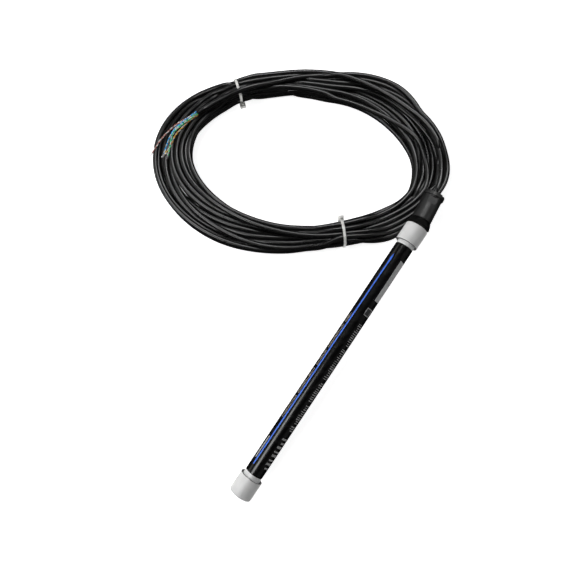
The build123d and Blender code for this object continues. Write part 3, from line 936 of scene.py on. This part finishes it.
def strap_mesh(inner, outer, in_space):
    """A strap between two outlines of a bundle, with its outer edges cut."""
    half = TIE_WIDTH / 2
    flat = half - STRAP_EDGE
    verts, faces = [], []
    for low, top in zip(inner, outer):
        near = top + (low - top) * 0.3
        section = ((low, half), (near, half), (top, flat), (top, -flat), (near, -half), (low, -half))
        verts += [in_space(*point, ahead) for point, ahead in section]
    sides = len(section)
    for row in range(len(inner)):
        next_row = (row + 1) % len(inner)
        for corner in range(sides):
            after = (corner + 1) % sides
            here, there = row * sides, next_row * sides
            faces.append((here + corner, here + after, there + after, there + corner))
    return new_mesh("strap", verts, faces)


def tie_head_mesh(outer, head_turn, in_space):
    """The ratchet head on the strap's inner side, with a stub of the strap's tail beyond it."""
    tall, deep, wide = TIE_HEAD
    turned = np.array([-math.cos(head_turn), math.sin(head_turn)])
    aside = np.array([turned[1], -turned[0]])
    seat = outer[np.argmax(outer @ turned)]

    def lump(off, along_strap, half_sizes, bevel):
        block = block_verts((off, along_strap, 0.0), half_sizes, bevel)
        return [in_space(*(seat + turned * u + aside * v), ahead) for u, v, ahead in block]

    housing = lump(deep / 2 - 0.2, -1.0, (deep / 2, tall / 2, wide / 2), 0.6)
    raised_face = lump(deep / 2 - 0.2, -1.0, (deep / 2 + 0.3, tall / 2 - 1.4, wide / 2 - 1.3), 0.3)
    tail_stub = lump(deep / 2 - 0.6, tall / 2 - 0.6, (0.55, 1.3, TIE_WIDTH / 2), 0.2)
    return closed_hull_mesh([housing, raised_face, tail_stub])


def tie_pieces(number, strands, place):
    """A nylon strap drawn round the strands, and its ratchet head."""
    base, way, outward = place

    def in_space(out, high, ahead):
        ahead = ahead + TIE_SHIFTS[number - 1] + TIE_LEANS[number - 1] * (out - middle_out)
        flat = base + outward * out + way * ahead
        return (flat[0] * MM, flat[1] * MM, high * MM)

    middle_out = (strands[:, 0].max() + strands[:, 0].min()) / 2
    inner = round_hull(strands, LEAD_RADIUS + STRAP_GAP)
    outer = round_hull(strands, LEAD_RADIUS + STRAP_GAP + STRAP_THICKNESS)
    inner[:, 1] = np.maximum(inner[:, 1], STRAP_THICKNESS + 0.05)
    outer[:, 1] = np.maximum(outer[:, 1], 0.05)
    meshes = {
        "strap": strap_mesh(inner, outer, in_space),
        "head": tie_head_mesh(outer, TIE_HEAD_TURNS[number - 1], in_space),
    }
    pieces = []
    for part_name, mesh in meshes.items():
        mesh.materials.append(finishes["tie_nylon"])
        piece = add_piece(f"tie_{number}_{part_name}", mesh)
        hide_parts(f"cable_tie_{number}")
        pieces.append(piece)
    return pieces


tie_parts = []
for tie_number, (strands, place) in enumerate(bundle.tie_sections(), start=1):
    tie_parts += tie_pieces(tie_number, strands, place)


# ---- print on the label
PRINT_PROUD = 0.05 * MM
PRINT_SUNK = 0.05 * MM
PRINT_STEP = 6.0 * MM
PATCH_COLUMNS = 5


def print_mesh(blocks, material):
    """Thin curved patches on the label. A block is its stations and its two edge angles there."""
    across = PATCH_COLUMNS
    verts, faces = [], []
    for stations, low_angles, high_angles in blocks:
        base = len(verts)
        for station, low, high in zip(stations, low_angles, high_angles):
            for radius in (LABEL_RADIUS + PRINT_PROUD, LABEL_RADIUS - PRINT_SUNK):
                for share in np.linspace(0.0, 1.0, across):
                    verts.append(on_probe(station, radius, low + share * (high - low)))
        rows = len(stations)
        for row in range(rows - 1):
            here, there = base + row * 2 * across, base + (row + 1) * 2 * across
            for step in range(across - 1):
                faces.append((here + step, there + step, there + step + 1, here + step + 1))
                low_here, low_there = here + across + step, there + across + step
                faces.append((low_here, low_here + 1, low_there + 1, low_there))
            faces.append((here, here + across, there + across, there))
            last = across - 1
            faces.append((here + last, there + last, there + across + last, here + across + last))
        for row, flip in ((0, 1), (rows - 1, -1)):
            here = base + row * 2 * across
            for step in range(across - 1):
                face = (here + step, here + step + 1, here + across + step + 1, here + across + step)
                faces.append(face[::flip])
    return new_mesh("print", verts, faces, material)


def plain_block(start, end, low, high):
    """A block with straight edges: stations in millimetres, angles in degrees."""
    stations = np.linspace(start, end, max(2, int((end - start) * MM / PRINT_STEP) + 1)) * MM
    low_angles = np.full(len(stations), math.radians(low))
    return stations, low_angles, np.full(len(stations), math.radians(high))


# The stripe's middle angle and its width, as a share of the plain width, at stations along it.
STRIPE_HALF_WIDTH = 0.80
STRIPE_START, STRIPE_NECK = 39, 309
STRIPE_ANGLES = [(39, 40.0), (200, 40.0), (325, 34.5)]
STRIPE_DART = [(309, 1.0), (314, 1.2), (319, 1.6), (322, 1.1), (325.5, 0.06)]


def stripe_block():
    """The long stripe, blunt towards the nose and pointed like a dart towards the head."""
    plain = np.linspace(STRIPE_START, STRIPE_NECK, 46)
    stations = np.concatenate([plain, [311, 314, 317, 320, 323, 325.5]])
    half = np.interp(stations, *np.array(STRIPE_DART).T) * STRIPE_HALF_WIDTH * MM / LABEL_RADIUS
    middle = np.radians(np.interp(stations, *np.array(STRIPE_ANGLES).T))
    return stations * MM, middle - half, middle + half


# Rows of strokes: their two edge angles, their pitch, and each word's first and last station.
STROKE_SEED = 11
STROKE_ROWS = {
    "large": [
        (-62, -26, 5.4, ((41, 79),)),
        (-58, -28, 2.6, ((91, 97), (101, 127), (131, 156), (161, 201), (206, 237))),
    ],
    "small": [(50, 66, 1.7, ((100, 128), (132, 165), (170, 190), (194, 226), (229, 241)))],
}


def stroke_blocks():
    """Upright strokes in groups where the label has lines of small print. They spell nothing."""
    random = np.random.default_rng(STROKE_SEED)
    blocks = {}
    for size, rows in STROKE_ROWS.items():
        blocks[size] = []
        for low, high, pitch, words in rows:
            for station in (place for start, end in words for place in np.arange(start, end, pitch)):
                thick = pitch * random.uniform(0.30, 0.55)
                shrink = random.choice([0.0, 0.0, 0.25]) * (high - low)
                blocks[size].append(plain_block(station, station + thick, low, high - shrink))
    return blocks


# Each block is its first and last station and its two edge angles. The square's frame is 1.1 mm
# wide along the probe and 5.5 degrees round it.
SQUARE = (246.5, 256.5, -59.0, -16.0)
SQUARE_FRAME = (1.1, 5.5)
PANEL = (267.0, 322.0, -72.0, -27.0)
PLAIN_BAR = (46.0, 74.0, 52.0, 62.0)


def square_blocks():
    """The four sides of the small square's frame, and the field inside it."""
    start, end, low, high = SQUARE
    along, round_way = SQUARE_FRAME
    frame_blocks = [
        plain_block(start, start + along, low, high),
        plain_block(end - along, end, low, high),
        plain_block(start + along, end - along, low, low + round_way),
        plain_block(start + along, end - along, high - round_way, high),
    ]
    return frame_blocks, [plain_block(start + along, end - along, low + round_way, high - round_way)]


strokes = stroke_blocks()
square_frame, square_field = square_blocks()
for piece_name, blocks, print_name in (
    ("label_stripe", [stripe_block()], "print_blue"),
    ("label_panel", [plain_block(*PANEL)], "print_grey"),
    ("label_square", square_frame, "print_pale"),
    ("label_square_field", square_field, "print_dim"),
    ("label_large_strokes", strokes["large"], "print_pale"),
    ("label_small_strokes", strokes["small"], "print_tan"),
    ("label_plain_bar", [plain_block(*PLAIN_BAR)], "print_pale"),
):
    add_piece(piece_name, print_mesh(blocks, finishes[print_name]))


# ---- floor, light and background
FLOOR_HALF = 6.0
BACKDROP_HEIGHT = 8.0


def glowing_white(name, glow):
    """A material that gives off white light, and its shader."""
    material, shader = new_material(name)
    shader.inputs["Emission Color"].default_value = grey(1.0)
    shader.inputs["Emission Strength"].default_value = glow
    return material, shader


def add_stage(name, verts, faces, material):
    """A piece of the studio, which isn't part of the object."""
    stage = new_object(name, new_mesh(name, verts, faces, material))
    stage.visible_glossy = False
    return stage


# A white floor that glows a little, so that it stays pale all over.
floor_white, floor_shader = glowing_white("floor_white", 0.88)
floor_cloud = noise(floor_white, object_place(floor_white), 3.0, 3.0)
connect(floor_white, blended(floor_white, floor_cloud, grey(0.80), grey(0.84)), floor_shader, "Base Color")
connect(floor_white, spread(floor_white, floor_cloud, 0.7, 0.8), floor_shader, "Roughness")
floor_corners = [
    (-FLOOR_HALF, -FLOOR_HALF, 0.0),
    (FLOOR_HALF, -FLOOR_HALF, 0.0),
    (FLOOR_HALF, FLOOR_HALF, 0.0),
    (-FLOOR_HALF, FLOOR_HALF, 0.0),
]
add_stage("floor", floor_corners, [(0, 1, 2, 3)], floor_white)

# White walls and a ceiling that only the camera sees, so that low views have no horizon.
backdrop_white, backdrop_shader = glowing_white("backdrop_white", 1.0)
backdrop_shader.inputs["Base Color"].default_value = grey(0.0)
high_corners = [(x, y, BACKDROP_HEIGHT) for x, y, _ in floor_corners]
walls = [(k, (k + 1) % 4, (k + 1) % 4 + 4, k + 4) for k in range(4)]
backdrop = add_stage("backdrop", floor_corners + high_corners, walls + [(4, 5, 6, 7)], backdrop_white)
backdrop.visible_diffuse = False
backdrop.visible_shadow = False


def area_light(name, place, target, size, power, glossy=True, diffuse=True):
    """A rectangular soft light that points at a target, in metres and watts."""
    data = bpy.data.lights.new(name, "AREA")
    data.shape = "RECTANGLE"
    data.size, data.size_y = size
    data.energy = power
    light = new_object(name, data)
    light.location = place
    way = Vector(target) - Vector(place)
    light.rotation_euler = way.to_track_quat("-Z", "X").to_euler()
    light.visible_glossy = glossy
    light.visible_diffuse = diffuse


# The soft lights that shine are kept apart from those that light the white parts.
area_light("shine_left", (-0.50, 0.60, 1.15), (0.0, 0.1, 0.0), (0.35, 0.70), 8.0, diffuse=False)
area_light("shine_right", (0.84, 0.42, 1.15), (0.15, 0.15, 0.0), (0.50, 0.95), 13.0, diffuse=False)
area_light("flat_card", (0.73, -0.78, 0.72), (0.19, 0.02, 0.03), (0.40, 0.40), 0.9, diffuse=False)
area_light("rim_left", (-0.30, 1.50, 0.35), (0.0, 0.2, 0.0), (0.50, 2.0), 4.7, diffuse=False)
area_light("card_front", (0.0, -0.90, 0.45), (0.0, 0.0, 0.1), (0.90, 2.2), 1.0, diffuse=False)
area_light("soft_side", (-0.2, 1.3, 1.2), (0.05, 0.08, 0.0), (1.5, 1.2), 25.0, glossy=False)

world = bpy.data.worlds.new("studio")
world.use_nodes = True
background = world.node_tree.nodes["Background"]
background.inputs["Color"].default_value = grey(1.0)
background.inputs["Strength"].default_value = 0.12
world.cycles_visibility.glossy = False
scene.world = world
scene.view_settings.view_transform = "Standard"
